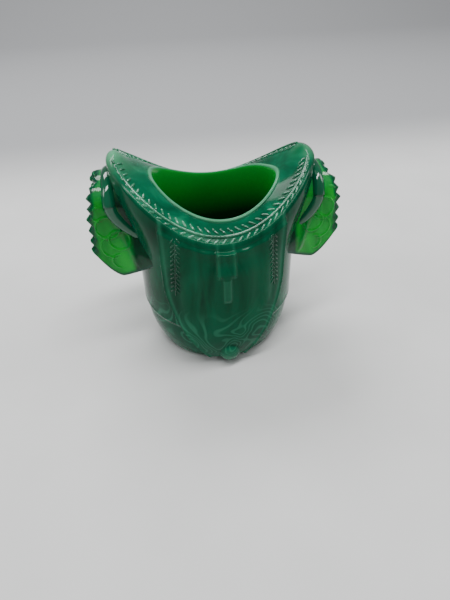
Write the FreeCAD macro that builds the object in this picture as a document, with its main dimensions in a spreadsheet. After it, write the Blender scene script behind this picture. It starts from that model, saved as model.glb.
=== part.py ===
"""Saddle-on-barrel holder in pressed glass.

A barrel-shaped cup carries a saddle: the mouth of the cup opens in the seat, the cantle and
the pommel rise at the two ends, a fender hangs down the front and the rear of the barrel, and
a saddle blanket with a serrated edge stands out under each end.  The glass is one casting, so
each sub-part is one moulded feature, and the features meet face to face.

Origin: centre of the foot, on the resting plane.  +X towards the pommel, -Y towards the
front fender, +Z up.  Millimetres.
"""
import FreeCAD, Part
import math
import os
import Sketcher

os.makedirs("parts", exist_ok=True)
doc = FreeCAD.newDocument("SaddleBarrelHolder")

# ---------------------------------------------------------------- driving dimensions
DIMENSIONS = [
    # barrel and cup
    ("foot_radius", 19.2, "outer radius of the resting foot"),
    ("foot_bore", 13.5, "radius of the recess under the cup"),
    ("foot_depth", 1.2, "depth of the recess under the cup"),
    ("foot_round", 0.9, "rounding of the foot's outer edge"),
    ("hoop_level", 14.2, "height where the lower staves end"),
    ("hoop_width", 2.0, "height of the hoop"),
    ("stave_top_radius", 22.9, "radius of the lower staves under the hoop"),
    ("stave_bulge", 40.0, "radius of the lower staves' bulge"),
    ("hoop_radius", 23.8, "outer radius of the hoop"),
    ("hoop_seat", 1.0, "how deep the hoop sits in the barrel"),
    ("barrel_radius", 23.5, "outer radius of the upper barrel"),
    ("neck_level", 34.0, "height where the barrel turns into the saddle"),
    ("cup_floor", 5.0, "height of the cup's floor"),
    ("cup_floor_length", 13.6, "half-length of the cup at its floor"),
    ("cup_floor_width", 12.2, "half-width of the cup at its floor"),
    ("cup_top_length", 18.3, "half-length of the cup at the block's top"),
    ("cup_top_width", 16.2, "half-width of the cup at the block's top"),
    ("cup_corner", 4.5, "radius between the cup's wall and floor"),
    # saddle block
    ("block_top", 62.0, "height of the uncut saddle block"),
    ("tip_flare", 4.3, "how far the ends flare out past the barrel"),
    ("side_waist", 1.2, "how far the front and rear draw in"),
    ("seat_level", 49.9, "height of the seat's saddle point"),
    ("seat_reach", 40.0, "half-diagonal of the seat's surface patch"),
    ("seat_curve", 0.014, "curvature factor of the seat, rise over reach squared"),
    ("seat_tilt", 0.03, "slope of the seat down towards the pommel"),
    ("end_reach", 27.0, "distance of the blunt ends from the middle"),
    ("end_split", 15.0, "where the cantle and the pommel meet the seat walls"),
    ("cantle_level", 61.7, "top of the cantle"),
    ("pommel_level", 60.2, "top of the pommel"),
    ("end_cap_reach", 25.0, "distance of a rounded end from the middle"),
    ("end_cap_depth", 3.0, "half-depth of a rounded end"),
    ("end_cap_width", 6.0, "half-width of a rounded end"),
    ("end_cap_height", 2.7, "half-height of a rounded end"),
    ("lip_width", 1.2, "width of the lip round the mouth"),
    ("lip_height", 0.35, "height of the lip above the seat"),
    ("border_depth", 1.4, "thickness of the border band"),
    ("border_length", 27.0, "half-length of the border's trimmed outline"),
    ("border_width", 21.9, "half-width of the border's trimmed outline"),
    ("ridge_length", 26.2, "half-length of the border ridge"),
    ("ridge_width", 19.9, "half-width of the border ridge"),
    ("ridge_thick", 0.8, "thickness of the border ridge"),
    ("ridge_height", 0.6, "height of the border ridge"),
    ("barb_height", 0.35, "height of the barbs beside the ridge"),
    ("barb_length", 2.0, "length of a barb"),
    ("barb_width", 0.55, "width of a barb"),
    ("barb_gap", 0.1, "gap between the ridge and a barb"),
    ("barb_slant", 35.0, "angle of a barb to the ridge, degrees"),
    ("barb_span", 0.9, "share of the ridge that carries barbs"),
    ("barb_count", 22, "barbs on one side of the ridge"),
    # fenders, straps, knobs
    ("fender_relief", 0.9, "how far a fender stands off the barrel"),
    ("fender_half", 16.8, "half-width of a fender"),
    ("fender_top", 52.0, "top of a fender before the border trims it"),
    ("fender_shoulder", 24.0, "height where a fender starts to taper"),
    ("fender_foot_half", 6.0, "half-width of a fender at its foot"),
    ("fender_foot", 1.5, "foot of a fender"),
    ("fender_curve", 30.0, "radius of a fender's tapering edge"),
    ("strap_relief", 1.7, "how far a strap stands off the barrel"),
    ("strap_half", 2.6, "half-width of the strap"),
    ("strap_low", 26.0, "lower end of the wide strap"),
    ("strap_step", 2.0, "height of the taper from the strap to the leather"),
    ("leather_half", 1.1, "half-width of the stirrup leather"),
    ("leather_low", 8.0, "lower end of the stirrup leather"),
    ("stitch_relief", 1.25, "how far the stitches stand off the barrel"),
    ("stitch_centre", 14.6, "distance of a stitch column from the middle"),
    ("stitch_length", 1.7, "length of one stitch"),
    ("stitch_width", 0.5, "width of one stitch"),
    ("stitch_pitch", 1.5, "spacing of the stitches"),
    ("stitch_low", 21.0, "height of the lowest stitch"),
    ("stitch_high", 47.0, "height where the stitch columns end"),
    ("stitch_lean", 35.0, "lean of a stitch, degrees"),
    ("stitch_offset", 0.3, "distance of a stitch from its column's centre line"),
    ("knob_width", 2.4, "half-width of the stirrup knob"),
    ("knob_height", 3.5, "half-height of the stirrup knob"),
    ("knob_depth", 2.5, "half-depth of the stirrup knob"),
    ("knob_centre", 19.6, "distance of a knob's centre from the axis"),
    ("knob_level", 3.6, "height of a knob's centre"),
    # blankets
    ("blanket_thick", 2.6, "thickness of a blanket"),
    ("blanket_top", 56.0, "top of a blanket"),
    ("blanket_foot", 28.0, "lowest point of a blanket"),
    ("blanket_half", 8.6, "half-width of a blanket at its free end"),
    ("blanket_root", 21.0, "half-width of a blanket at its root inside the barrel"),
    ("blanket_root_reach", 8.0, "distance of the root from the middle"),
    ("blanket_bend", 26.0, "where the blanket's sides turn parallel"),
    ("blanket_flare", 12.0, "radius of that bend"),
    ("blanket_end", 34.3, "reach of the serrated edge, between the teeth"),
    ("blanket_corner", 36.0, "height of the last tooth"),
    ("blanket_shoulder", 7.2, "radius of the blanket's shoulders"),
    ("blanket_split", 50.0, "height where the side panels meet the top panel"),
    ("tooth_depth", 1.1, "depth of the serration"),
    ("tooth_pitch", 2.9, "pitch of the serration"),
    ("tooth_count", 7, "teeth on the serrated edge"),
    ("tooth_lean", 0.35, "how far each upper tooth draws in"),
    ("crown_drawback", 2.4, "how far the top of the free edge draws in"),
    ("crown_clearance", 2.0, "height of the side outline over the blanket"),
    ("outline_root", 15.0, "where the side outline starts inside the saddle"),
    ("hem_root", 1.5, "how far the hem's root lies below the last tooth"),
    ("hem_reach", 22.0, "where the hem turns outwards"),
    ("hem_rise", 2.2, "height of that turn over the lowest point"),
    ("hem_turn", 5.5, "distance of the lowest point from the free edge"),
    ("hem_curve", 12.0, "radius of the hem's outer corner"),
    ("roll_radius", 1.5, "radius of the roll between saddle and blanket"),
    ("roll_reach", 27.6, "distance of the roll from the middle"),
    ("roll_half", 8.2, "half-width of the roll's arch"),
    ("roll_low", 44.0, "lower end of the roll"),
    ("rosette_radius", 2.9, "outer radius of a rosette ring"),
    ("rosette_thick", 0.7, "thickness of a rosette ring"),
    ("rosette_relief", 0.5, "how far a rosette stands off the blanket"),
    ("lower_ring_reach", 27.6, "distance of the lower ring from the middle"),
    ("lower_ring_level", 39.0, "height of the lower ring"),
    ("upper_ring_reach", 30.2, "distance of the upper ring from the middle"),
    ("upper_ring_level", 43.4, "height of the upper ring"),
    ("rib_reach", 25.6, "distance of the rib's lower end from the middle"),
    ("rib_low", 33.0, "lower end of the rib"),
    ("rib_length", 10.0, "length of the rib"),
    ("rib_lean", 16.0, "lean of the rib, degrees"),
]


class Size:
    """A length with its value and the sheet expression that drives it."""

    def __init__(self, value, text):
        self.value = float(value)
        self.text = text

    def __add__(self, other):
        other = as_size(other)
        return Size(self.value + other.value, f"({self.text} + {other.text})")

    def __sub__(self, other):
        other = as_size(other)
        return Size(self.value - other.value, f"({self.text} - {other.text})")

    def __mul__(self, other):
        other = as_size(other)
        return Size(self.value * other.value, f"({self.text} * {other.text})")

    def __truediv__(self, other):
        other = as_size(other)
        return Size(self.value / other.value, f"({self.text} / {other.text})")

    def __neg__(self):
        return Size(-self.value, f"(0 - {self.text})")


def as_size(number):
    return number if isinstance(number, Size) else Size(number, repr(float(number)))


sheet = doc.addObject("Spreadsheet::Sheet", "Dims")
DIM = {}
for row, (alias, amount, note) in enumerate(DIMENSIONS, start=1):
    sheet.set(f"A{row}", alias)
    sheet.set(f"B{row}", str(amount))
    sheet.setAlias(f"B{row}", alias)
    sheet.set(f"C{row}", note)
    DIM[alias] = Size(amount, f"Dims.{alias}")
doc.recompute()


def bind(thing, prop, size):
    """Bind a property to a size of the sheet."""
    thing.setExpression(prop, as_size(size).text)


# ---------------------------------------------------------------- building blocks
PLANES = {
    "XY_Plane": FreeCAD.Rotation(),
    "XZ_Plane": FreeCAD.Rotation(FreeCAD.Vector(1, 0, 0), 90),
}


def draw(sketch, corners):
    """Draw a closed outline.  A corner is (x, y), or (x, y, radius) where the edge that
    leads to it is an arc; a positive radius turns anticlockwise."""
    count = len(corners)
    spots = [FreeCAD.Vector(as_size(c[0]).value, as_size(c[1]).value, 0) for c in corners]
    for index in range(count):
        start = spots[index - 1]
        end = spots[index]
        if len(corners[index]) == 3:
            radius = as_size(corners[index][2]).value
            chord = end - start
            half = chord.Length / 2
            rise = math.sqrt(max(radius * radius - half * half, 0.0))
            normal = FreeCAD.Vector(-chord.y, chord.x, 0).normalize()
            side = 1 if radius > 0 else -1
            centre = (start + end) * 0.5 + normal * (rise * side)
            first, last = (start, end) if side > 0 else (end, start)
            first_angle = math.atan2(first.y - centre.y, first.x - centre.x)
            last_angle = math.atan2(last.y - centre.y, last.x - centre.x)
            if last_angle < first_angle:
                last_angle += 2 * math.pi
            circle = Part.Circle(centre, FreeCAD.Vector(0, 0, 1), abs(radius))
            sketch.addGeometry(Part.ArcOfCircle(circle, first_angle, last_angle), False)
        else:
            sketch.addGeometry(Part.LineSegment(start, end), False)

    def ends(index):
        backwards = len(corners[index]) == 3 and as_size(corners[index][2]).value < 0
        return (2, 1) if backwards else (1, 2)

    for index in range(count):
        after = (index + 1) % count
        joint = (index, ends(index)[1], after, ends(after)[0])
        sketch.addConstraint(Sketcher.Constraint("Coincident", *joint))
        for kind, size in (("DistanceX", corners[index][0]), ("DistanceY", corners[index][1])):
            size = as_size(size)
            number = sketch.addConstraint(
                Sketcher.Constraint(kind, -1, 1, index, ends(index)[1], size.value))
            sketch.setExpression(f"Constraints[{number}]", size.text)
        if len(corners[index]) == 3:
            radius = as_size(corners[index][2])
            radius = radius if radius.value > 0 else -radius
            number = sketch.addConstraint(Sketcher.Constraint("Radius", index, radius.value))
            sketch.setExpression(f"Constraints[{number}]", radius.text)


def turned(name, corners):
    """A PartDesign body turned about the Z axis from its half profile (radius, height)."""
    body = doc.addObject("PartDesign::Body", name)
    sketch = body.newObject("Sketcher::SketchObject", name + "_profile")
    plane = next(item for item in body.Origin.OriginFeatures if item.Role == "XZ_Plane")
    sketch.AttachmentSupport = [(plane, "")]
    sketch.MapMode = "FlatFace"
    draw(sketch, corners)
    turn = body.newObject("PartDesign::Revolution", name + "_turn")
    turn.Profile = sketch
    turn.ReferenceAxis = (sketch, ["V_Axis"])
    turn.Angle = 360
    doc.recompute()
    return body


def prism(name, plane, corners, length):
    """An outline drawn on the XY or XZ plane and extruded both ways from it."""
    sketch = doc.addObject("Sketcher::SketchObject", name + "_outline")
    sketch.Placement = FreeCAD.Placement(FreeCAD.Vector(), PLANES[plane])
    draw(sketch, corners)
    solid = doc.addObject("Part::Extrusion", name)
    solid.Base = sketch
    solid.DirMode = "Normal"
    solid.Solid = True
    solid.Symmetric = True
    bind(solid, "LengthFwd", length)
    return solid


def ellipse(name, length, width, level):
    ring = doc.addObject("Part::Ellipse", name)
    bind(ring, "MajorRadius", length)
    bind(ring, "MinorRadius", width)
    bind(ring, "Placement.Base.z", level)
    return ring


def lofted(name, sections, ruled=False):
    """A solid lofted through upright-stacked ellipses (half-length, half-width, height)."""
    loft = doc.addObject("Part::Loft", name)
    loft.Sections = [ellipse(f"{name}_{i}", *section) for i, section in enumerate(sections)]
    loft.Solid = True
    loft.Ruled = ruled
    return loft


def boolean(kind, name, first, *others):
    """Part::Cut, Part::Common (two shapes) or Part::MultiFuse (any number)."""
    result = doc.addObject("Part::" + kind, name)
    if kind == "MultiFuse":
        result.Shapes = [first, *others]
    else:
        result.Base = first
        result.Tool = others[0]
    return result


def block(name, low, high):
    """A box between two corners given as sizes."""
    box = doc.addObject("Part::Box", name)
    for prop, axis, start, end in zip(("Length", "Width", "Height"), "xyz", low, high):
        bind(box, prop, as_size(end) - start)
        bind(box, "Placement.Base." + axis, start)
    return box


def coded(name, shape):
    """A shape worked out with Part's own functions from the sheet's values."""
    feature = doc.addObject("Part::Feature", name)
    feature.Shape = shape
    feature.Placement = FreeCAD.Placement()
    return feature


def mirrored(name, source, normal):
    copy = doc.addObject("Part::Mirroring", name)
    copy.Source = source
    copy.Normal = normal
    return copy


SUB_PARTS = []


def keep(name, feature):
    """Name a finished sub-part, which is exported under that name."""
    feature.Label = name
    SUB_PARTS.append((name, feature))
    return feature


FAR = 60.0
TOLERANCE = 0.01
LEFT_RIGHT = FreeCAD.Vector(1, 0, 0)
FRONT_REAR = FreeCAD.Vector(0, 1, 0)

# ---------------------------------------------------------------- barrel and cup
neck = DIM["neck_level"]
hoop_low = DIM["hoop_level"]
hoop_high = hoop_low + DIM["hoop_width"]
foot_height = DIM["foot_depth"]


def barrel_profile(offset):
    """Half profile of the barrel, grown outwards by an offset."""
    return [
        (0.0, 0.0),
        (DIM["foot_radius"] + offset - DIM["foot_round"], 0.0),
        (DIM["foot_radius"] + offset, DIM["foot_round"], DIM["foot_round"]),
        (DIM["stave_top_radius"] + offset, hoop_low, -DIM["stave_bulge"]),
        (DIM["barrel_radius"] + offset, hoop_high),
        (DIM["barrel_radius"] + offset, neck),
        (0.0, neck),
    ]


# Share of the block's height, of its full end flare and of its full side waist.
BLOCK_SHARES = ((0.0, 0.0, 0.0), (0.3, 0.09, 1.0), (0.55, 0.3025, 1.0), (0.8, 0.64, 1.0), (1.0, 1.0, 1.0))


def block_sections(offset):
    """Ellipses of the saddle block from the neck to its top, grown outwards by an offset."""
    sections = []
    for share, flare_share, waist_share in BLOCK_SHARES:
        length = DIM["barrel_radius"] + offset + DIM["tip_flare"] * flare_share
        width = DIM["barrel_radius"] + offset - DIM["side_waist"] * waist_share
        sections.append((length, width, neck + (DIM["block_top"] - neck) * share))
    return sections


barrel = turned("barrel_core", barrel_profile(0.0))
saddle_block = lofted("saddle_block", block_sections(0.0))
cup_levels = [
    (DIM["cup_floor_length"], DIM["cup_floor_width"], DIM["cup_floor"]),
    (DIM["cup_top_length"], DIM["cup_top_width"], DIM["block_top"]),
]
cup_loft = lofted("cup_loft", cup_levels, ruled=True)
doc.recompute()

floor_edges = [
    number for number, edge in enumerate(cup_loft.Shape.Edges, start=1)
    if abs(edge.BoundBox.ZMax - DIM["cup_floor"].value) < TOLERANCE
]
cup_space = doc.addObject("Part::Fillet", "cup_space")
cup_space.Base = cup_loft
cup_space.Edges = [(number, DIM["cup_corner"].value, DIM["cup_corner"].value) for number in floor_edges]

foot = turned("foot_ring", [
    (DIM["foot_bore"], 0.0),
    (DIM["foot_radius"] - DIM["foot_round"], 0.0),
    (DIM["foot_radius"], DIM["foot_round"], DIM["foot_round"]),
    (DIM["foot_radius"], foot_height),
    (DIM["foot_bore"], foot_height),
])
keep("foot_ring", foot)

floor_disc = turned("floor_disc", [
    (0.0, foot_height),
    (DIM["foot_bore"], foot_height),
    (DIM["foot_bore"], DIM["cup_floor"] + DIM["cup_corner"]),
    (0.0, DIM["cup_floor"] + DIM["cup_corner"]),
])
keep("cup_floor", boolean("Cut", "cup_floor", floor_disc, cup_space))

# The wall is cut into the lower staves, the hoop and the upper barrel, outside the floor disc.
open_barrel = boolean("Cut", "open_barrel", barrel, cup_space)
wall_only = boolean("Cut", "wall_only", open_barrel, floor_disc)
for wall, low, high in (("lower_staves", foot_height, hoop_low), ("upper_barrel", hoop_low, neck)):
    band = block(wall + "_band", (-FAR, -FAR, low), (FAR, FAR, high))
    keep(wall, boolean("Common", wall, wall_only, band))

hoop_ring = turned("hoop_ring", [
    (DIM["stave_top_radius"] - DIM["hoop_seat"], hoop_low),
    (DIM["hoop_radius"], hoop_low),
    (DIM["hoop_radius"], hoop_high),
    (DIM["stave_top_radius"] - DIM["hoop_seat"], hoop_high),
])
hoop_cut = boolean("Cut", "hoop_cut", hoop_ring, barrel)

# ---------------------------------------------------------------- seat surface
reach = DIM["seat_reach"].value


def seat_height(x, y):
    """Height of the seat: a saddle surface with a slight tilt towards the pommel."""
    curve = DIM["seat_curve"].value
    return DIM["seat_level"].value - DIM["seat_tilt"].value * x + curve * (x * x - y * y)


def seat_slab(low, high):
    """The space between two offsets of the seat surface, both measured along Z."""
    def corner(x, y):
        return FreeCAD.Vector(x, y, seat_height(x, y) + low)
    patch = Part.BSplineSurface()
    patch.buildFromPolesMultsKnots(
        [[corner(-reach, 0), corner(0, reach)], [corner(0, -reach), corner(reach, 0)]],
        [2, 2], [2, 2], [0, 1], [0, 1], False, False, 1, 1)
    slab = patch.toShape().extrude(FreeCAD.Vector(0, 0, high - low))
    if slab.Volume < 0:
        slab.reverse()
    return slab


sky = coded("sky_over_seat", seat_slab(0.0, FAR + FAR))
above_band = coded("above_border", seat_slab(-DIM["border_depth"].value, FAR + FAR))
ridge_slab = coded("ridge_slab", seat_slab(0.0, DIM["ridge_height"].value))
lip_slab = coded("lip_slab", seat_slab(0.0, DIM["lip_height"].value))
barb_slab = coded("barb_slab", seat_slab(0.0, DIM["barb_height"].value))
doc.recompute()


def tube(name, length, width):
    """An upright elliptical column through the whole saddle."""
    return lofted(name, [(length, width, 0.0), (length, width, FAR + FAR)], ruled=True)


end_trim = block("end_trim", (-DIM["end_reach"], -FAR, 0.0), (DIM["end_reach"], FAR, FAR + FAR))
trimmed_block = boolean("Common", "trimmed_block", saddle_block, end_trim)
open_block = boolean("Cut", "open_block", trimmed_block, cup_space)
shaped_block = boolean("Cut", "shaped_block", open_block, sky)
ridge_thick = DIM["ridge_thick"]
ridge_inner = tube("ridge_inner", DIM["ridge_length"] - ridge_thick, DIM["ridge_width"] - ridge_thick)
ridge_outer = tube("ridge_outer", DIM["ridge_length"], DIM["ridge_width"])
band_zone = boolean("Cut", "band_zone", above_band, ridge_inner)
seat_core = boolean("Cut", "seat_core", shaped_block, band_zone)
split = DIM["end_split"]

end_caps = []
for end, sign, level in (("cantle_roll", -1, DIM["cantle_level"]), ("pommel_horn", 1, DIM["pommel_level"])):
    cap = doc.addObject("Part::Ellipsoid", end + "_round")
    bind(cap, "Radius1", DIM["end_cap_height"])
    bind(cap, "Radius2", DIM["end_cap_depth"])
    bind(cap, "Radius3", DIM["end_cap_width"])
    bind(cap, "Placement.Base.x", DIM["end_cap_reach"] * sign)
    bind(cap, "Placement.Base.z", level - DIM["end_cap_height"])
    end_caps.append((end, cap))
both_caps = boolean("MultiFuse", "both_caps", *[cap for end, cap in end_caps])

ZONES = [
    ("cantle", (-FAR, -FAR, 0.0), (-split, FAR, FAR + FAR)),
    ("pommel", (split, -FAR, 0.0), (FAR, FAR, FAR + FAR)),
    ("front_seat_wall", (-split, -FAR, 0.0), (split, 0.0, FAR + FAR)),
    ("rear_seat_wall", (-split, 0.0, 0.0), (split, FAR, FAR + FAR)),
]
for zone, low, high in ZONES:
    keep(zone, boolean("Common", zone, seat_core, block(zone + "_zone", low, high)))

SIDES = [
    ("front", block("front_half", (-FAR, -FAR, -FAR), (FAR, 0.0, FAR + FAR))),
    ("rear", block("rear_half", (-FAR, 0.0, -FAR), (FAR, FAR, FAR + FAR))),
]
ridge_ring = boolean("Cut", "ridge_ring", ridge_outer, ridge_inner)
ridge_full = boolean("Common", "ridge_full", ridge_slab, ridge_ring)
ridge_all = boolean("Cut", "ridge_all", ridge_full, both_caps)
for side, half in SIDES:
    side_block = boolean("Common", f"{side}_block", shaped_block, half)
    keep(f"{side}_border", boolean("Common", f"{side}_border", side_block, band_zone))
    keep(f"{side}_border_ridge", boolean("Common", f"{side}_border_ridge", ridge_all, half))

lip_outer = lofted("lip_outer", [
    (length + DIM["lip_width"], width + DIM["lip_width"], level) for length, width, level in cup_levels
], ruled=True)
lip_ring = boolean("Cut", "lip_ring", lip_outer, cup_space)
keep("mouth_lip", boolean("Common", "mouth_lip", lip_slab, lip_ring))


def barb_bars():
    """Bars on both sides of the border ridge, slanting away from it towards the pommel."""
    long_radius = (DIM["ridge_length"] - ridge_thick / 2).value
    short_radius = (DIM["ridge_width"] - ridge_thick / 2).value
    length = DIM["barb_length"].value
    width = DIM["barb_width"].value
    slant = DIM["barb_slant"].value
    clear = (ridge_thick / 2 + DIM["barb_gap"]).value
    bars = []
    steps = int(DIM["barb_count"].value)
    for step in range(steps):
        x = long_radius * DIM["barb_span"].value * ((2 * step + 1) / steps - 1)
        y = -short_radius * math.sqrt(1 - (x / long_radius) ** 2)
        run = math.degrees(math.atan2(-x * short_radius ** 2, y * long_radius ** 2))
        run = run + 180 if abs(run) > 90 else run
        for side in (1, -1):
            near_side = clear if side > 0 else -clear - width
            bar = Part.makeBox(length, width, FAR, FreeCAD.Vector(-length, near_side, neck.value))
            bar.rotate(FreeCAD.Vector(0, side * clear, 0), FreeCAD.Vector(0, 0, 1), -slant * side)
            bar.rotate(FreeCAD.Vector(), FreeCAD.Vector(0, 0, 1), run)
            bar.translate(FreeCAD.Vector(x, y, 0))
            bars.append(bar)
    return Part.makeCompound(bars)


border_tube = tube("border_tube", DIM["border_length"], DIM["border_width"])
barb_zone = boolean("Common", "barb_zone", barb_slab, border_tube)
barbs_full = boolean("Common", "barbs_full", coded("barb_bars", barb_bars()), barb_zone)
front_barbs = boolean("Cut", "front_border_barbs", barbs_full, both_caps)
keep("front_border_barbs", front_barbs)
keep("rear_border_barbs", mirrored("rear_border_barbs", front_barbs, FRONT_REAR))

# ---------------------------------------------------------------- fenders, straps, stitches, knobs
body_solid = boolean("MultiFuse", "body_solid", barrel, saddle_block)


def sleeve(name, low, high):
    """A skin over barrel and saddle block between two offsets from their surface."""
    def solid(level, word):
        if level is None:
            return body_solid
        turned_part = turned(f"{name}_{word}_barrel", barrel_profile(level))
        block_part = lofted(f"{name}_{word}_block", block_sections(level))
        return boolean("MultiFuse", f"{name}_{word}", turned_part, block_part)
    return boolean("Cut", name, solid(high, "outside"), solid(low, "inside"))


def under_border(name, feature):
    """Trim a raised feature where the border band overhangs it."""
    return boolean("Cut", name, feature, above_band)


fender_skin = sleeve("fender_skin", None, DIM["fender_relief"])
fender_shield = prism("fender_shield", "XZ_Plane", [
    (-DIM["fender_foot_half"], DIM["fender_foot"], DIM["fender_curve"]),
    (DIM["fender_foot_half"], DIM["fender_foot"]),
    (DIM["fender_half"], DIM["fender_shoulder"], DIM["fender_curve"]),
    (DIM["fender_half"], DIM["fender_top"]),
    (-DIM["fender_half"], DIM["fender_top"]),
    (-DIM["fender_half"], DIM["fender_shoulder"]),
], 2 * FAR)
fender_both = under_border("fender_both", boolean("Common", "fender_full", fender_skin, fender_shield))

knob = doc.addObject("Part::Ellipsoid", "knob_round")
bind(knob, "Radius1", DIM["knob_height"])
bind(knob, "Radius2", DIM["knob_width"])
bind(knob, "Radius3", DIM["knob_depth"])
bind(knob, "Placement.Base.y", -DIM["knob_centre"])
bind(knob, "Placement.Base.z", DIM["knob_level"])
front_knob = boolean("Cut", "front_stirrup_knob", knob, body_solid)
doc.recompute()

strap_skin = sleeve("strap_skin", DIM["fender_relief"], DIM["strap_relief"])
leather_top = DIM["strap_low"] - DIM["strap_step"]
strap_shape = prism("strap_shape", "XZ_Plane", [
    (-DIM["leather_half"], DIM["leather_low"]),
    (DIM["leather_half"], DIM["leather_low"]),
    (DIM["leather_half"], leather_top),
    (DIM["strap_half"], DIM["strap_low"]),
    (DIM["strap_half"], DIM["fender_top"]),
    (-DIM["strap_half"], DIM["fender_top"]),
    (-DIM["strap_half"], DIM["strap_low"]),
    (-DIM["leather_half"], leather_top),
], 2 * FAR)
strap_both = under_border("strap_both", boolean("Common", "strap_full", strap_skin, strap_shape))

stitch_skin = sleeve("stitch_skin", DIM["fender_relief"], DIM["stitch_relief"])


def stitch_bars():
    """Two columns of paired stitches, each pair an upward arrowhead round a centre line."""
    length = DIM["stitch_length"].value
    width = DIM["stitch_width"].value
    pitch = DIM["stitch_pitch"].value
    low = DIM["stitch_low"].value
    lean = DIM["stitch_lean"].value
    offset = DIM["stitch_offset"].value
    rows = int((DIM["stitch_high"].value - low) / pitch)
    bars = []
    for column in (-DIM["stitch_centre"].value, DIM["stitch_centre"].value):
        for row_number in range(rows):
            for side in (1, -1):
                bar = Part.makeBox(width, 2 * FAR, length, FreeCAD.Vector(-width / 2, -FAR, -length))
                bar.rotate(FreeCAD.Vector(), FreeCAD.Vector(0, 1, 0), -lean * side)
                bar.translate(FreeCAD.Vector(column + side * offset, 0, low + pitch * (row_number + 1)))
                bars.append(bar)
    return Part.makeCompound(bars)


stitches_full = boolean("Common", "stitches_full", stitch_skin, coded("stitch_bars", stitch_bars()))
stitches_both = under_border("stitches_both", stitches_full)

for side, half in SIDES:
    keep(f"{side}_strap", boolean("Common", f"{side}_strap", strap_both, half))
    keep(f"{side}_stitching", boolean("Common", f"{side}_stitching", stitches_both, half))

front_fender_full = boolean("Common", "front_fender_full", fender_both, SIDES[0][1])
front_fender = boolean("Cut", "front_fender", front_fender_full, knob)
keep("front_fender", front_fender)
keep("rear_fender", mirrored("rear_fender", front_fender, FRONT_REAR))
keep("front_stirrup_knob", front_knob)
keep("rear_stirrup_knob", mirrored("rear_stirrup_knob", front_knob, FRONT_REAR))

hoop_stop = boolean("MultiFuse", "hoop_stop", barrel, fender_both)
keep("barrel_hoop", boolean("Cut", "barrel_hoop", hoop_cut, hoop_stop))

# ---------------------------------------------------------------- blankets


def blanket_plan(offset):
    """Plan of a blanket, grown outwards by an offset: its sides leave the barrel at a slant
    and bend parallel, tangent at both ends of the bend."""
    slant = math.atan2((DIM["blanket_root"] - DIM["blanket_half"]).value,
                       (DIM["blanket_bend"] - DIM["blanket_root_reach"]).value)
    setback = DIM["blanket_flare"].value * math.tan(slant / 2)
    half = DIM["blanket_half"] + offset
    root = DIM["blanket_root"] + offset * (1 / math.cos(slant))
    flare = -(DIM["blanket_flare"] - offset)
    bend_start_x = DIM["blanket_bend"] - setback * math.cos(slant) + offset * math.sin(slant)
    bend_start_y = DIM["blanket_half"] + setback * math.sin(slant) + offset * math.cos(slant)
    bend_end = DIM["blanket_bend"] + setback
    end = DIM["blanket_end"] + DIM["tooth_depth"]
    return [
        (DIM["blanket_root_reach"], -root),
        (bend_start_x, -bend_start_y),
        (bend_end, -half, flare),
        (end, -half),
        (end, half),
        (bend_end, half),
        (bend_start_x, bend_start_y, flare),
        (DIM["blanket_root_reach"], root),
    ]


def blanket_hull(name, offset, shoulder):
    """Upright prism of the blanket's plan with rounded shoulders along its top edges."""
    top = DIM["blanket_top"] + offset
    column = prism(name + "_column", "XY_Plane", blanket_plan(offset), top * 2)
    doc.recompute()
    top_edges = [
        number for number, edge in enumerate(column.Shape.Edges, start=1)
        if edge.BoundBox.ZMin > top.value - TOLERANCE
        and edge.BoundBox.XLength > TOLERANCE
    ]
    rounded = doc.addObject("Part::Fillet", name)
    rounded.Base = column
    rounded.Edges = [(number, shoulder, shoulder) for number in top_edges]
    return rounded


def blanket_side():
    """Side outline: serrated free edge, a corner under the last tooth, a hanging lower edge."""
    end = DIM["blanket_end"]
    depth = DIM["tooth_depth"]
    pitch = DIM["tooth_pitch"]
    corner = DIM["blanket_corner"]
    over = DIM["blanket_top"] + DIM["crown_clearance"]
    outline = [
        (DIM["outline_root"], over),
        (DIM["outline_root"], corner - DIM["hem_root"]),
        (DIM["hem_reach"], DIM["blanket_foot"] + DIM["hem_rise"]),
        (end - DIM["hem_turn"], DIM["blanket_foot"]),
        (end, corner - pitch / 2, DIM["hem_curve"]),
    ]
    teeth = int(DIM["tooth_count"].value)
    for number in range(teeth):
        lean = DIM["tooth_lean"] * max(0, number - teeth // 2)
        outline.append((end + depth - lean, corner + pitch * number))
        outline.append((end - lean, corner + pitch * (number + 0.5)))
    outline.append((end - DIM["crown_drawback"], over))
    return outline


outer_hull = blanket_hull("blanket_outer", as_size(0.0), DIM["blanket_shoulder"].value)
inner_hull = blanket_hull("blanket_inner", -DIM["blanket_thick"],
                          DIM["blanket_shoulder"].value - DIM["blanket_thick"].value)
blanket_shell = boolean("Cut", "blanket_shell", outer_hull, inner_hull)
blanket_cutout = prism("blanket_cutout", "XZ_Plane", blanket_side(), 2 * FAR)
blanket_clipped = boolean("Common", "blanket_clipped", blanket_shell, blanket_cutout)
fender_body = boolean("MultiFuse", "fender_body", body_solid, fender_both)


def roll_path():
    """Arch of the roll in its own plane: two upright legs and a half-round crown."""
    half = DIM["roll_half"].value
    x = DIM["roll_reach"].value
    crown_level = DIM["blanket_top"].value - half
    corners = [
        FreeCAD.Vector(x, -half, DIM["roll_low"].value),
        FreeCAD.Vector(x, -half, crown_level),
        FreeCAD.Vector(x, 0, crown_level + half),
        FreeCAD.Vector(x, half, crown_level),
        FreeCAD.Vector(x, half, DIM["roll_low"].value),
    ]
    return Part.Wire([
        Part.makeLine(corners[0], corners[1]),
        Part.Arc(corners[1], corners[2], corners[3]).toShape(),
        Part.makeLine(corners[3], corners[4]),
    ])


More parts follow.
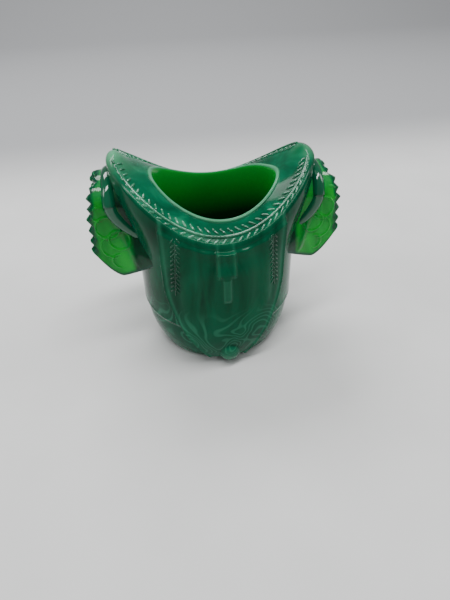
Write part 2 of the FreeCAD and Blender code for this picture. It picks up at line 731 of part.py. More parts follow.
path = roll_path()
start = path.Vertexes[0].Point
along = path.Edges[0].tangentAt(path.Edges[0].FirstParameter)
ring = Part.Wire(Part.makeCircle(DIM["roll_radius"].value, start, along))
roll_tube = coded("roll_tube", path.makePipeShell([ring], True, False))
roll_stop = boolean("MultiFuse", "roll_stop", fender_body, blanket_clipped)
roll = boolean("Cut", "roll", roll_tube, roll_stop)

skin_hull = blanket_hull("blanket_skin", DIM["rosette_relief"],
                         DIM["blanket_shoulder"].value + DIM["rosette_relief"].value)
rosette_skin = boolean("Cut", "rosette_skin", skin_hull, outer_hull)


def rosette_rings():
    """Two linked rings and a slanting rib on each side panel."""
    outer = DIM["rosette_radius"].value
    inner = outer - DIM["rosette_thick"].value
    turn = FreeCAD.Vector(0, 1, 0)
    solids = []
    for ring_name in ("lower_ring", "upper_ring"):
        centre = FreeCAD.Vector(DIM[ring_name + "_reach"].value, -FAR, DIM[ring_name + "_level"].value)
        disc = Part.makeCylinder(outer, 2 * FAR, centre, turn)
        solids.append(disc.cut(Part.makeCylinder(inner, 2 * FAR, centre, turn)))
    rib_foot = FreeCAD.Vector(DIM["rib_reach"].value, -FAR, DIM["rib_low"].value)
    rib = Part.makeBox(DIM["rosette_thick"].value, 2 * FAR, DIM["rib_length"].value, rib_foot)
    rib.rotate(rib_foot, turn, DIM["rib_lean"].value)
    return solids[0].fuse(solids[1]).fuse(rib)


rosette_both = boolean("Common", "rosette_both", rosette_skin, coded("rosette_rings", rosette_rings()))
doc.recompute()

panel_split = DIM["blanket_split"]
PANELS = [
    ("front", block("blanket_front_zone", (0.0, -FAR, 0.0), (FAR, 0.0, panel_split))),
    ("top", block("blanket_top_zone", (0.0, -FAR, panel_split), (FAR, FAR, FAR + FAR))),
    ("rear", block("blanket_rear_zone", (0.0, 0.0, 0.0), (FAR, FAR, panel_split))),
]
for panel, zone in PANELS:
    panel_full = boolean("Common", f"blanket_{panel}_full", blanket_clipped, zone)
    right = boolean("Cut", f"right_blanket_{panel}", panel_full, fender_body)
    keep(f"right_blanket_{panel}", right)
    keep(f"left_blanket_{panel}", mirrored(f"left_blanket_{panel}", right, LEFT_RIGHT))

# The rounded ends sit on the seat, and the rolls stop under them.
rolls = (("left_blanket_roll", mirrored("left_roll_full", roll, LEFT_RIGHT)), ("right_blanket_roll", roll))
for (end, cap), (roll_name, full_roll) in zip(end_caps, rolls):
    keep(end, boolean("Cut", end, cap, shaped_block))
    keep(roll_name, boolean("Cut", roll_name, full_roll, cap))
keep("right_blanket_rosettes", rosette_both)
keep("left_blanket_rosettes", mirrored("left_blanket_rosettes", rosette_both, LEFT_RIGHT))

# ---------------------------------------------------------------- check and export
doc.recompute()
for item in doc.Objects:
    if "Invalid" in item.State or "Error" in item.State:
        raise RuntimeError(f"{item.Label} failed: {item.State}")
for name, item in SUB_PARTS:
    shape = item.Shape
    if shape.isNull() or not shape.isValid() or not shape.Solids:
        raise RuntimeError(f"{name} has no valid solid")
for name, item in SUB_PARTS:
    item.Shape.exportStep(f"parts/{name}.step")
    box = item.Shape.BoundBox
    print(f"{name:26s} solids {len(item.Shape.Solids):3d} volume {item.Shape.Volume:9.1f} "
          f"z {box.ZMin:6.2f} to {box.ZMax:6.2f}")
print(len(SUB_PARTS), "sub-parts")
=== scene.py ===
"""Looks of the saddle-on-barrel glass holder: one continuous slag-glass casting with moulded
relief, translucent serrated blankets, and the raised marks on the seat's border and fenders."""
import bpy
import math
import numpy as np
from mathutils import Matrix, Vector


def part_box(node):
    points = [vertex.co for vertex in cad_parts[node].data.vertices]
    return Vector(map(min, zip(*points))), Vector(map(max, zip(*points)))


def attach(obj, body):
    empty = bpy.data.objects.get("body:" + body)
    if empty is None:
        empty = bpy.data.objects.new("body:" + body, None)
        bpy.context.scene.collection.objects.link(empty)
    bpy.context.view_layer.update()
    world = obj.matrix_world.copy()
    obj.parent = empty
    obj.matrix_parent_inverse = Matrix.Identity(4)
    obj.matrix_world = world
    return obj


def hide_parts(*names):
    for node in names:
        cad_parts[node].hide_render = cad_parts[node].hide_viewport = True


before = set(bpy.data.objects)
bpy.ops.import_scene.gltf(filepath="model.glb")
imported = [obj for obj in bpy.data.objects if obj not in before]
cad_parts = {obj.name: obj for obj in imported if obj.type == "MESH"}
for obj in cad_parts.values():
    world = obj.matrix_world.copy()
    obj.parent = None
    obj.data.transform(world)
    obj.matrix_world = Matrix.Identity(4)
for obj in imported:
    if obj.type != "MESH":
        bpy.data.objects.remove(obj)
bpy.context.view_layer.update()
MM = 0.001
FRONT_REAR = {-1: "front", 1: "rear"}
LEFT_RIGHT = {-1: "left", 1: "right"}


# ------------------------------------------------------------- sizes from the frame (mm)
def node_low(name):
    """Least x, y and z of one node of the frame."""
    return np.array(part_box(name)[0]) / MM


def node_high(name):
    """Greatest x, y and z of one node of the frame."""
    return np.array(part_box(name)[1]) / MM


FOOT_RADIUS = node_high("foot_ring")[0]
FOOT_BORE = node_high("cup_floor")[0]
FOOT_DEPTH = node_low("cup_floor")[2]
STAVE_RADIUS = node_high("lower_staves")[0]
HOOP_LOW = node_low("barrel_hoop")[2]
HOOP_HIGH = node_high("barrel_hoop")[2]
BARREL_RADIUS = node_high("upper_barrel")[0]
NECK = node_high("upper_barrel")[2]
END_REACH = -node_low("cantle_roll")[0]
SIDE_REACH = -node_low("front_border")[1]
RIDGE_SIDE = -node_low("front_border_ridge")[1]
FENDER_HALF = node_high("front_fender")[0]
STRAP_HALF = node_high("front_strap")[0]
KNOB_SIZE = node_high("front_stirrup_knob") - node_low("front_stirrup_knob")
BLANKET_ROOF = node_high("right_blanket_top")[2]


# ------------------------------------------------------------- formulas shared by the pieces
def smooth(t):
    """A soft step from 0 to 1."""
    t = np.clip(t, 0.0, 1.0)
    return t * t * (3 - 2 * t)


def bump(distance, width):
    """A soft bump, 1 where the distance is 0."""
    return np.exp(-(distance / width) ** 2)


def oval(x, y, centre, half):
    """A soft oval bump seen from above, 1 at its centre."""
    return np.exp(-((x - centre[0]) / half[0]) ** 2 - ((y - centre[1]) / half[1]) ** 2)


def rounded(share):
    """From 0 to 1, steep at first and level at the end: the curve of a barrel's stave."""
    share = np.clip(share, 0.0, 1.0)
    return 2.0 * share - share ** 2


def steps(count):
    """Even steps that end at 1 and leave 0 out."""
    return np.linspace(0.0, 1.0, count + 1)[1:]


# ------------------------------------------------------------- the seat
SADDLE_POINT = 49.9
SADDLE_CURVE = 0.014
SADDLE_TILT = 0.03
CANTLE_RISE = 1.5
CANTLE_PLACE, CANTLE_SIZE = (-24.8, 0.0), (2.4, 5.0)
POMMEL_RISE = 0.6
POMMEL_PLACE, POMMEL_SIZE = (25.2, 0.0), (2.2, 4.2)
DISH_DEPTH = 1.5
DISH_PLACE, DISH_SIZE = (17.0, 3.0), (5.5, 8.0)


def seat_height(x, y):
    """The seat: a saddle surface whose ends swell a little, with a shallow dish by the pommel."""
    saddle = SADDLE_POINT - SADDLE_TILT * x + SADDLE_CURVE * (x * x - y * y)
    ends = (CANTLE_RISE * oval(x, y, CANTLE_PLACE, CANTLE_SIZE)
            + POMMEL_RISE * oval(x, y, POMMEL_PLACE, POMMEL_SIZE))
    return saddle + ends - DISH_DEPTH * oval(x, y, DISH_PLACE, DISH_SIZE)


# ------------------------------------------------------------- relief on the barrel
HOOP_RISE = 0.28
FENDER_SHOULDER = 30.0
FENDER_FOOT = 4.5
FENDER_POWER = 1.7
FENDER_RISE = 0.9
FENDER_BEAD = 0.45
FENDER_INSET = 0.8
STRAP_FOOT = 34.0
STRAP_RISE = 0.55
STRAP_BEAD = 0.4
STRAP_INSET = 0.5
BEAD_WIDTH = 0.4
LEATHER_FOOT = 26.0
LEATHER_HALF = 1.1
LEATHER_RISE = 0.5
LEATHER_SLOPE = 0.6
STEP_FADE = 1.5
PLEAT_RISE = 0.16
PLEAT_TURNS = 1.15
PLEAT_FOOT = 18.0
KNOB_HALF = KNOB_SIZE[0] / 2 + 0.7
KNOB_TALL = KNOB_SIZE[2] / 2 + 0.9
KNOB_LEVEL = KNOB_TALL + 0.2
KNOB_SHIFT = 0.6
KNOB_RISE = 3.0
FRONT_FACING = 0.55


def fender_half(z):
    """Half-width of a fender, which narrows in a curve towards its foot."""
    rise = np.clip(z / FENDER_SHOULDER, 0.0, 1.0)
    return FENDER_FOOT + (FENDER_HALF - FENDER_FOOT) * (1 - (1 - rise) ** FENDER_POWER)


def barrel_radius(z):
    """Plain outer radius of the barrel: round foot, bulging staves, low hoop, upright wall."""
    staves = FOOT_RADIUS + (STAVE_RADIUS - FOOT_RADIUS) * rounded(z / HOOP_LOW)
    step = smooth((z - HOOP_LOW) / (HOOP_HIGH - HOOP_LOW))
    upper = STAVE_RADIUS + (BARREL_RADIUS - STAVE_RADIUS) * step
    hoop = HOOP_RISE * bump(z - (HOOP_LOW + HOOP_HIGH) / 2, 0.8)
    return np.where(z < HOOP_LOW, staves, upper) + hoop


def knob_ball(x, z):
    """From 1 in the middle of the stirrup knob to 0 at its outline."""
    across = (x - KNOB_SHIFT) / KNOB_HALF
    upward = (z - KNOB_LEVEL) / KNOB_TALL
    return np.clip(1 - across ** 2 - upward ** 2, 0.0, 1.0)


def relief(phi, x, z):
    """Height of the moulded relief above the plain barrel: fender, strap, leather, knob."""
    facing = np.abs(np.sin(phi)) > FRONT_FACING
    middle = np.abs(x)
    inside = fender_half(z) - middle
    above_foot = smooth((z - 1.2) / 1.2)
    fender = FENDER_RISE * smooth(inside / 0.7) + FENDER_BEAD * bump(inside - FENDER_INSET, BEAD_WIDTH)
    strap_zone = smooth((z - STRAP_FOOT) / STEP_FADE)
    strap_bead = STRAP_BEAD * bump(middle - STRAP_HALF + STRAP_INSET, BEAD_WIDTH)
    strap = strap_zone * (STRAP_RISE * smooth((STRAP_HALF - middle) / 0.5) + strap_bead)
    leather_zone = smooth((z - LEATHER_FOOT) / STEP_FADE) * (1 - strap_zone)
    leather = leather_zone * LEATHER_RISE * smooth((LEATHER_HALF - middle) / LEATHER_SLOPE + 0.3)
    pleat_zone = smooth((inside - 2.5) / 2.0) * smooth((z - PLEAT_FOOT) / 8.0)
    pleats = PLEAT_RISE * np.cos(x * PLEAT_TURNS) * pleat_zone
    even = FOOT_RADIUS + (BARREL_RADIUS - FOOT_RADIUS) * rounded(z / HOOP_HIGH)
    over_hoop = (even - barrel_radius(z)) * smooth(inside / 0.9)
    flap = above_foot * (fender + strap + leather + pleats + over_hoop)
    return facing * np.maximum(flap, KNOB_RISE * knob_ball(x, z) ** 0.4)


# ------------------------------------------------------------- mesh helpers
def object_from(name, points, faces):
    """A smooth-shaded object from points in mm."""
    mesh = bpy.data.meshes.new(name)
    mesh.from_pydata((np.asarray(points) * MM).tolist(), [], faces)
    mesh.validate()
    mesh.polygons.foreach_set("use_smooth", [True] * len(mesh.polygons))
    piece = bpy.data.objects.new(name, mesh)
    bpy.context.scene.collection.objects.link(piece)
    return piece


def ring_faces(rows, columns):
    """Quads between successive closed rings of a grid."""
    faces = []
    for row in range(rows - 1):
        base = row * columns
        for column in range(columns):
            after = (column + 1) % columns
            faces.append((base + column, base + after, base + columns + after, base + columns + column))
    return faces


def capped_rings(rings, first_pole, last_pole):
    """A closed mesh from a stack of rings with a pole at each end."""
    rings = np.asarray(rings)
    rows, columns = rings.shape[:2]
    points = np.vstack([rings.reshape(-1, 3), [first_pole], [last_pole]])
    faces = ring_faces(rows, columns)
    start = rows * columns
    for column in range(columns):
        after = (column + 1) % columns
        faces.append((start, after, column))
        faces.append((start + 1, (rows - 1) * columns + column, (rows - 1) * columns + after))
    return points, faces


def set_attribute(piece, name, values):
    """One number per point, for a material to read."""
    attribute = piece.data.attributes.new(name, "FLOAT", "POINT")
    attribute.data.foreach_set("value", np.asarray(values, dtype=np.float32))


# ------------------------------------------------------------- the casting
COLUMNS = 512
PHI = np.arange(COLUMNS) * 2 * math.pi / COLUMNS
COS = np.cos(PHI)
SIN = np.sin(PHI)
FOOT_ROUND = 1.0
WALL_ROW = 0.3
NECK_RINGS = 70
EDGE_RINGS = 11
SEAT_RINGS = 45
LIP_RINGS = 11
LIP_CREST = 5
LIP_INSIDE = 8
CUP_RINGS = 59
CORNER_RINGS = 8
RIM_ROUND = 1.0
END_ROUND = 1.5
RELIEF_LOST = 0.85
LIP_WIDTH = 1.2
LIP_RISE = 0.4
LIP_DROP = 0.5
MOUTH_EDGE = 0.7
MOUTH_TURN = math.radians(9.0)
MOUTH_SHIFT = 0.5
CUP_FLOOR = 5.0
CUP_CORNER = 4.5
CUP_TOP = 62.0
CUP_FLOOR_HALF = np.array([13.6, 12.2])
CUP_TOP_HALF = np.array([17.6, 16.0])


def ring(length, width, z):
    """A ring of points on an ellipse; each argument is a number or one value per column."""
    z = np.broadcast_to(z, COS.shape)
    return np.stack([length * COS, width * SIN, z], axis=1)


def relief_ring(radius, z):
    """A ring round the barrel with the relief on it."""
    swell = relief(PHI, radius * COS, np.full(COLUMNS, z))
    return ring(radius + swell, radius + swell, z)


def edge_round(phi):
    """Rounding radius of the saddle's rim: blunt at the two ends, finer along the sides."""
    return RIM_ROUND + END_ROUND * bump(np.abs(np.sin(phi)), 0.28)


def rim_level(phi):
    """Height of the saddle's rim in a direction, below its rounding."""
    return seat_height(END_REACH * np.cos(phi), SIDE_REACH * np.sin(phi)) - edge_round(phi) * 1.1


def wall_half(share):
    """Half-length and half-width of the flaring neck at a share of its height."""
    length = BARREL_RADIUS + (END_REACH - BARREL_RADIUS) * smooth(share * 1.12)
    width = BARREL_RADIUS + (SIDE_REACH - BARREL_RADIUS) * smooth(share * 1.4)
    return length, width


def relief_left(share):
    """How much of the relief is left at a share of the neck's height: it fades under the rim."""
    return 1 - smooth((share - 0.9) / 0.1) * RELIEF_LOST


def outer_rings():
    """Foot, barrel wall and flared neck up to the rim."""
    recess = ((FOOT_BORE * 0.5, FOOT_DEPTH), (FOOT_BORE - 0.7, FOOT_DEPTH),
              (FOOT_BORE - 0.2, FOOT_DEPTH * 0.8), (FOOT_BORE + 0.2, FOOT_DEPTH * 0.3),
              (FOOT_BORE + 0.8, 0.0), (FOOT_RADIUS - FOOT_ROUND - 0.4, 0.0))
    rings = [ring(radius, radius, z) for radius, z in recess]
    for turn in np.linspace(0.15, 1.0, 5) * math.pi / 2:
        radius = FOOT_RADIUS - FOOT_ROUND + FOOT_ROUND * math.sin(turn)
        rings.append(relief_ring(radius, FOOT_ROUND - FOOT_ROUND * math.cos(turn)))
    for z in np.arange(FOOT_ROUND + WALL_ROW, NECK - 0.2, WALL_ROW):
        rings.append(relief_ring(float(barrel_radius(z)), z))
    rim_z = rim_level(PHI)
    for share in np.linspace(0.0, 1.0, NECK_RINGS):
        z = NECK + (rim_z - NECK) * share
        length, width = wall_half(share)
        swell = relief(PHI, length * COS, z) * relief_left(share)
        rings.append(ring(length + swell, width + swell, z))
    round_off = edge_round(PHI)
    top_z = seat_height((END_REACH - round_off) * COS, (SIDE_REACH - round_off) * SIN)
    last_swell = relief(PHI, END_REACH * COS, rim_z) * (1 - RELIEF_LOST)
    for turn in steps(EDGE_RINGS) * math.pi / 2:
        inset = round_off * (1 - math.cos(turn)) - last_swell * (1 - math.sin(turn))
        z = rim_z + (top_z - rim_z) * math.sin(turn)
        rings.append(ring(END_REACH - inset, SIDE_REACH - inset, z))
    return rings


def cup_half(z):
    """Half-length and half-width of the cup at a height."""
    share = (z - CUP_FLOOR) / (CUP_TOP - CUP_FLOOR)
    spread = CUP_TOP_HALF - CUP_FLOOR_HALF
    return CUP_FLOOR_HALF[0] + spread[0] * share, CUP_FLOOR_HALF[1] + spread[1] * share


def cup_ring(length, width, z):
    """A ring of the cup, which sits slightly turned and off centre in the saddle."""
    x = length * COS * math.cos(MOUTH_TURN) + width * SIN * math.sin(MOUTH_TURN) + MOUTH_SHIFT
    y = width * SIN * math.cos(MOUTH_TURN) - length * COS * math.sin(MOUTH_TURN)
    return np.stack([x, y, np.broadcast_to(z, COS.shape)], axis=1)


def seated(points, lift=0.0):
    """The same ring laid on the seat."""
    points = points.copy()
    points[:, 2] = seat_height(points[:, 0], points[:, 1]) + lift
    return points


def mouth_level():
    """Height of the mouth's edge in every direction, and its half-sizes there."""
    z = np.full(COLUMNS, SADDLE_POINT)
    for _ in range(4):
        length, width = cup_half(z)
        z = seated(cup_ring(length, width, 0.0))[:, 2]
    return z, length, width


def inner_rings():
    """Seat, raised lip and cup, down to the floor."""
    rings = []
    round_off = edge_round(PHI)
    mouth_z, mouth_length, mouth_width = mouth_level()
    outer = ring(END_REACH - round_off, SIDE_REACH - round_off, 0.0)
    inner = cup_ring(mouth_length + LIP_WIDTH, mouth_width + LIP_WIDTH, 0.0)
    for share in steps(SEAT_RINGS):
        rings.append(seated(outer * (1 - share) + inner * share))
    for turn in steps(LIP_RINGS) * math.pi:
        inset = LIP_WIDTH / 2 * (1 + math.cos(turn))
        drop = LIP_DROP * smooth((turn / math.pi - 0.6) / 0.4)
        lift = LIP_RISE * math.sin(turn) - drop
        rings.append(seated(cup_ring(mouth_length + inset, mouth_width + inset, 0.0), lift))
    corner_top = CUP_FLOOR + CUP_CORNER
    for share in steps(CUP_RINGS):
        z = (mouth_z - MOUTH_EDGE) * (1 - share) + corner_top * share
        rings.append(cup_ring(*cup_half(z), z))
    length, width = cup_half(corner_top)
    for turn in steps(CORNER_RINGS) * math.pi / 2:
        inset = CUP_CORNER * (1 - math.cos(turn))
        z = corner_top - CUP_CORNER * math.sin(turn)
        rings.append(cup_ring(length - inset, width - inset, z))
    for share in (0.75, 0.5, 0.25):
        rings.append(cup_ring((length - CUP_CORNER) * share, (width - CUP_CORNER) * share, CUP_FLOOR))
    return rings


CUP_SHADE = 22.0
SEAT_FADE = 8.0
TIPS_ABOVE = 53.0
CANTLE_TIP, CANTLE_TIP_SIZE = (-26.2, 0.0), (3.4, 6.0)
POMMEL_TIP, POMMEL_TIP_SIZE = (26.6, 0.0), (2.6, 5.0)
# The lip's paleness is a painted highlight
CANTLE_PALE, POMMEL_PALE, LIP_PAINTED_HIGHLIGHT = 0.65, 0.35, 0.55
SPOT_ABOVE = 52.0
SPOT_PLACE, SPOT_SIZE = (24.2, 0.0), (1.9, 3.0)
SWIRL_TOP = 24.0
FOOT_CLEAR = 1.5
ON_BARREL = 15.0


def paint_casting(piece, points, rows, rim_row):
    """Masks for the casting's material, from each point's place and its ring's number."""
    x, y, z = points.T
    outside = rows < rim_row
    in_cup = rows >= rim_row + SEAT_RINGS + LIP_INSIDE
    mouth_z = SADDLE_POINT + SADDLE_CURVE * (x * x - y * y)
    # cup_depth carries the cup's painted glow and shade: glowing at the top, darker deeper down
    set_attribute(piece, "cup_depth", in_cup * np.clip((mouth_z - z) / CUP_SHADE, 0.0, 1.0))
    set_attribute(piece, "in_cup", in_cup)
    tips = oval(x, y, CANTLE_TIP, CANTLE_TIP_SIZE) + oval(x, y, POMMEL_TIP, POMMEL_TIP_SIZE)
    pale_tips = np.where(x > 0, POMMEL_PALE, CANTLE_PALE) * tips * (z > TIPS_ABOVE)
    # Painted highlight along the lip, added into the pale mask
    lip = bump(rows - (rim_row + SEAT_RINGS + LIP_CREST), 3.5)
    set_attribute(piece, "pale", np.clip(pale_tips + LIP_PAINTED_HIGHLIGHT * lip, 0.0, 1.0))
    set_attribute(piece, "spot", oval(x, y, SPOT_PLACE, SPOT_SIZE) * (z > SPOT_ABOVE))
    set_attribute(piece, "seat", smooth((rows - rim_row + SEAT_FADE) / SEAT_FADE) * ~in_cup)
    # The low mask carries the lower barrel's painted sheen and the foot's real flow lines
    set_attribute(piece, "low", smooth((SWIRL_TOP - z) / 8.0) * outside)
    middle = np.abs(x)
    fender_edge = bump(fender_half(z) - middle - FENDER_INSET, 0.5) * (z > FOOT_CLEAR)
    strap_edge = bump(middle - STRAP_HALF + STRAP_INSET, BEAD_WIDTH) * (z > STRAP_FOOT)
    leather = (middle < LEATHER_HALF) * (z > LEATHER_FOOT) * (z < STRAP_FOOT)
    on_flap = 0.6 * (strap_edge + leather) * (np.abs(y) > ON_BARREL)
    set_attribute(piece, "edge", (np.maximum(fender_edge, on_flap) + 1.2 * knob_ball(x, z)) * outside)


def make_casting():
    """The whole casting as one skin: under the foot, up the outside, over the seat, into the cup."""
    outside = outer_rings()
    rings = outside + inner_rings()
    points, faces = capped_rings(rings, (0, 0, FOOT_DEPTH), (0, 0, CUP_FLOOR))
    piece = object_from("glass_casting", points, faces)
    rows = np.append(np.repeat(np.arange(len(rings)), COLUMNS), [0, len(rings)])
    paint_casting(piece, points, rows, len(outside))
    return piece


# ------------------------------------------------------------- tubes and marks
def tube_mesh(path, radii, sides=10):
    """Points and faces of a round tube with rounded ends along a path of points."""
    path = np.asarray(path, dtype=float)
    radii = np.broadcast_to(radii, len(path)).astype(float)
    tangent = np.gradient(path, axis=0)
    tangent /= np.linalg.norm(tangent, axis=1)[:, None]
    side = np.cross(tangent, (0.0, 0.0, 1.0))
    side /= np.linalg.norm(side, axis=1)[:, None] + 1e-9
    other = np.cross(side, tangent)
    angles = np.arange(sides) * 2 * math.pi / sides
    around = np.cos(angles)[:, None, None] * side + np.sin(angles)[:, None, None] * other
    rings = [path[i] + radii[i] * around[:, i] for i in range(len(path))]
    first_pole = path[0] - tangent[0] * radii[0] * 0.5
    last_pole = path[-1] + tangent[-1] * radii[-1] * 0.5
    return capped_rings(rings, first_pole, last_pole)


def joined(name, parts):
    """One object from many (points, faces) parts."""
    points = []
    faces = []
    start = 0
    for part_points, part_faces in parts:
        points.append(part_points)
        faces += [tuple(index + start for index in face) for face in part_faces]
        start += len(part_points)
    return object_from(name, np.vstack(points), faces)


def bead(start, end, radius, points=7, sides=8):
    """A short mark, thickest in the middle."""
    share = np.linspace(0, 1, points)
    path = np.outer(1 - share, start) + np.outer(share, end)
    return tube_mesh(path, radius * np.sqrt(np.clip(1 - (2 * share - 1) ** 4 * 0.85, 0.05, 1)), sides)


RIDGE_REACH = 26.2
RIDGE_RADIUS = 0.42
RIDGE_ENDS = 0.27
BARBS = 34
BARB_LEAN = 0.062
BARB_RADIUS = {"inner": 0.34, "outer": 0.36}
# Where a barb's tail and apex lie: outward past the ridge along x and along y, and upward
BARB_TAIL = {"inner": (-2.2, -2.2, 0.0), "outer": (0.25, 1.9, -0.1)}
BARB_APEX = {"inner": (-0.65, -0.65, 0.0), "outer": (0.1, 0.65, 0.0)}


def by_ridge(phi, along, across, lift):
    """Points on the seat, a little off the ridge line of the border."""
    x = (RIDGE_REACH + along) * np.cos(phi)
    y = (RIDGE_SIDE + across) * np.sin(phi)
    return np.stack([x, y, seat_height(x, y) + lift], axis=-1)


def border_line(side):
    """Ridge line of one border; side is -1 for the front and 1 for the rear."""
    span = np.linspace(RIDGE_ENDS, math.pi - RIDGE_ENDS, 260)
    path = by_ridge(side * span, 0.0, 0.0, 0.05)
    return joined(FRONT_REAR[side] + "_border_line", [tube_mesh(path, RIDGE_RADIUS, 12)])


def border_marks(side):
    """Slanting barbs on both sides of the ridge line."""
    barbs = []
    for apex in np.linspace(0.26, math.pi - 0.24, BARBS):
        for row, radius in BARB_RADIUS.items():
            start = by_ridge(side * (apex + BARB_LEAN), *BARB_TAIL[row])
            end = by_ridge(side * apex, *BARB_APEX[row])
            barbs.append(bead(start, end, radius))
    return joined(FRONT_REAR[side] + "_border_marks", barbs)


STITCH_COLUMN = 12.5
STITCH_SPREAD = 0.075
STITCH_SPREAD_TOP = 46.0
STITCH_FOOT = 28.5
STITCH_PITCH = 1.45
STITCH_LENGTH = 1.1
STITCH_HALF = 1.2
STITCH_GAP = 0.25
STITCH_RADIUS = 0.26
CORD_RADIUS = 0.16


def stitch_line(side_x, z):
    """Where a stitch column runs: the two columns spread a little towards the foot."""
    return side_x * (STITCH_COLUMN + (STITCH_SPREAD_TOP - z) * STITCH_SPREAD)


def barrel_point(x, z, side, lift):
    """A point on the front (side -1) or rear relief, at a place across and up."""
    phi = side * math.acos(x / BARREL_RADIUS)
    for _ in range(5):
        share = float(np.clip((z - NECK) / (rim_level(phi) - NECK), 0.0, 1.0))
        length, width = wall_half(share) if z > NECK else [float(barrel_radius(z))] * 2
        swell = float(relief(phi, x, z)) * float(relief_left(share)) + lift
        phi = side * math.acos(min(1.0, max(-1.0, x / (length + swell))))
    return np.array([x, (width + swell) * math.sin(phi), z])


def stitches(side):
    """Two columns of arrowheads with a centre cord."""
    parts = []
    for side_x in (-1, 1):
        top = float(rim_level(side * math.acos(side_x * STITCH_COLUMN / END_REACH))) - 0.8
        for level in np.arange(STITCH_FOOT, top, STITCH_PITCH):
            centre = stitch_line(side_x, level)
            for lean in (-1, 1):
                start = barrel_point(centre + lean * STITCH_GAP, level + STITCH_LENGTH, side, 0.05)
                end = barrel_point(centre + lean * STITCH_HALF, level, side, 0.05)
                parts.append(bead(start, end, STITCH_RADIUS, 6, 7))
        cord_levels = np.linspace(STITCH_FOOT - 1.0, top, 50)
        cord = [barrel_point(stitch_line(side_x, z), z, side, 0.02) for z in cord_levels]
        parts.append(tube_mesh(cord, CORD_RADIUS, 8))
    return joined(FRONT_REAR[side] + "_stitches", parts)


# ------------------------------------------------------------- blankets
DRAPE_ROWS = 90
DRAPE_COLUMNS = 220
BLANKET_EDGE = 34.6
BLANKET_TOP = {-1: BLANKET_ROOF, 1: BLANKET_ROOF - 2.0}
BLANKET_HALF = 8.6
BLANKET_THICK = 2.2
SHOULDER = 8.2
SHOULDER_DROP = SHOULDER * 0.95
FLARE_FROM = 26.0
FLARE_SOFT = 3.2
FLARE_ABOVE = 0.12
FLARE_BELOW = 0.57
HEM_LOW, HEM_LOW_X = 28.2, 28.0
HEM_CORNER, HEM_CORNER_X = 36.2, 35.0
HEM_ROOT, HEM_ROOT_X = 34.4, 16.5
ROOT_X = 16.0
ROOT_RISE = 7.5
EDGE_SWELL = 0.5
EDGE_DRAW = 0.9
EDGE_ROUND_OFF = 2.1
CROWN = 3.2
TOOTH = 1.1
TOOTH_PITCH = 3.1
TOOTH_START = 0.15
RIM = 0.9
RIB_X, RIB_Z, RIB_LEAN = 24.0, 35.0, 0.33
RIB_LOW, RIB_HIGH, RIB_FADE = 31.0, 51.0, 3.0
RIB_RISE = 0.35
ARC_WIDTH = 0.22
# Ornament on the side panel: centre x, centre z and radius of each ring and of each arc
RINGS = ((27.3, 40.2, 2.9), (29.9, 44.0, 3.2))
RING_RISE = 0.32
ARCS = ((31.6, 48.0, 1.9), (29.2, 38.2, 3.4), (28.0, 33.6, 2.2))
ARC_RISE = 0.28


def blanket_half(x, z):
    """Half-width of the blanket: parallel outside, spreading onto the barrel low down."""
    slope = FLARE_ABOVE + FLARE_BELOW * smooth((43.0 - z) / 9.0)
    return BLANKET_HALF + slope * FLARE_SOFT * np.log1p(np.exp((FLARE_FROM - x) / FLARE_SOFT))


def hem_height(x):
    """Height of the hanging edge: lowest part-way out, rising to the corner and to the barrel."""
    outward = np.clip((x - HEM_LOW_X) / (HEM_CORNER_X - HEM_LOW_X), 0.0, 1.3)
    inward = np.clip((HEM_LOW_X - x) / (HEM_LOW_X - HEM_ROOT_X), 0.0, 1.3)
    return HEM_LOW + (HEM_CORNER - HEM_LOW) * outward ** 1.7 + (HEM_ROOT - HEM_LOW) * inward ** 1.3


def free_edge(z, top):
    """How far out the serrated edge stands: fullest low down, drawn in and rounded at the crown."""
    swell = EDGE_SWELL * smooth((44.0 - z) / 8.0)
    draw = EDGE_DRAW * smooth((z - 46.0) / 5.0)
    return BLANKET_EDGE + swell - draw - EDGE_ROUND_OFF * smooth((z - top + CROWN) / CROWN)


def root_line(z):
    """Where the blanket sinks into the saddle or the barrel."""
    return ROOT_X + ROOT_RISE * smooth((z - 36.0) / 9.0)


def rib_band(x, z, width):
    """A slanting rib down the middle of the side panel."""
    along = smooth((RIB_HIGH - z) / RIB_FADE) * smooth((z - RIB_LOW) / RIB_FADE)
    return bump(x - RIB_X - (z - RIB_Z) * RIB_LEAN, width) * along


def ornament(x, z):
    """Relief on the side panel: two linked rings, short arcs and the slanting rib."""
    height = RIB_RISE * rib_band(x, z, 0.8)
    for centre_x, centre_z, radius in RINGS:
        height += RING_RISE * bump(np.hypot(x - centre_x, z - centre_z) - radius, ARC_WIDTH)
    for centre_x, centre_z, radius in ARCS:
        arc = bump(np.hypot(x - centre_x, z - centre_z) - radius, ARC_WIDTH)
        height += ARC_RISE * arc * smooth((x - centre_x) + 0.6)
    return height


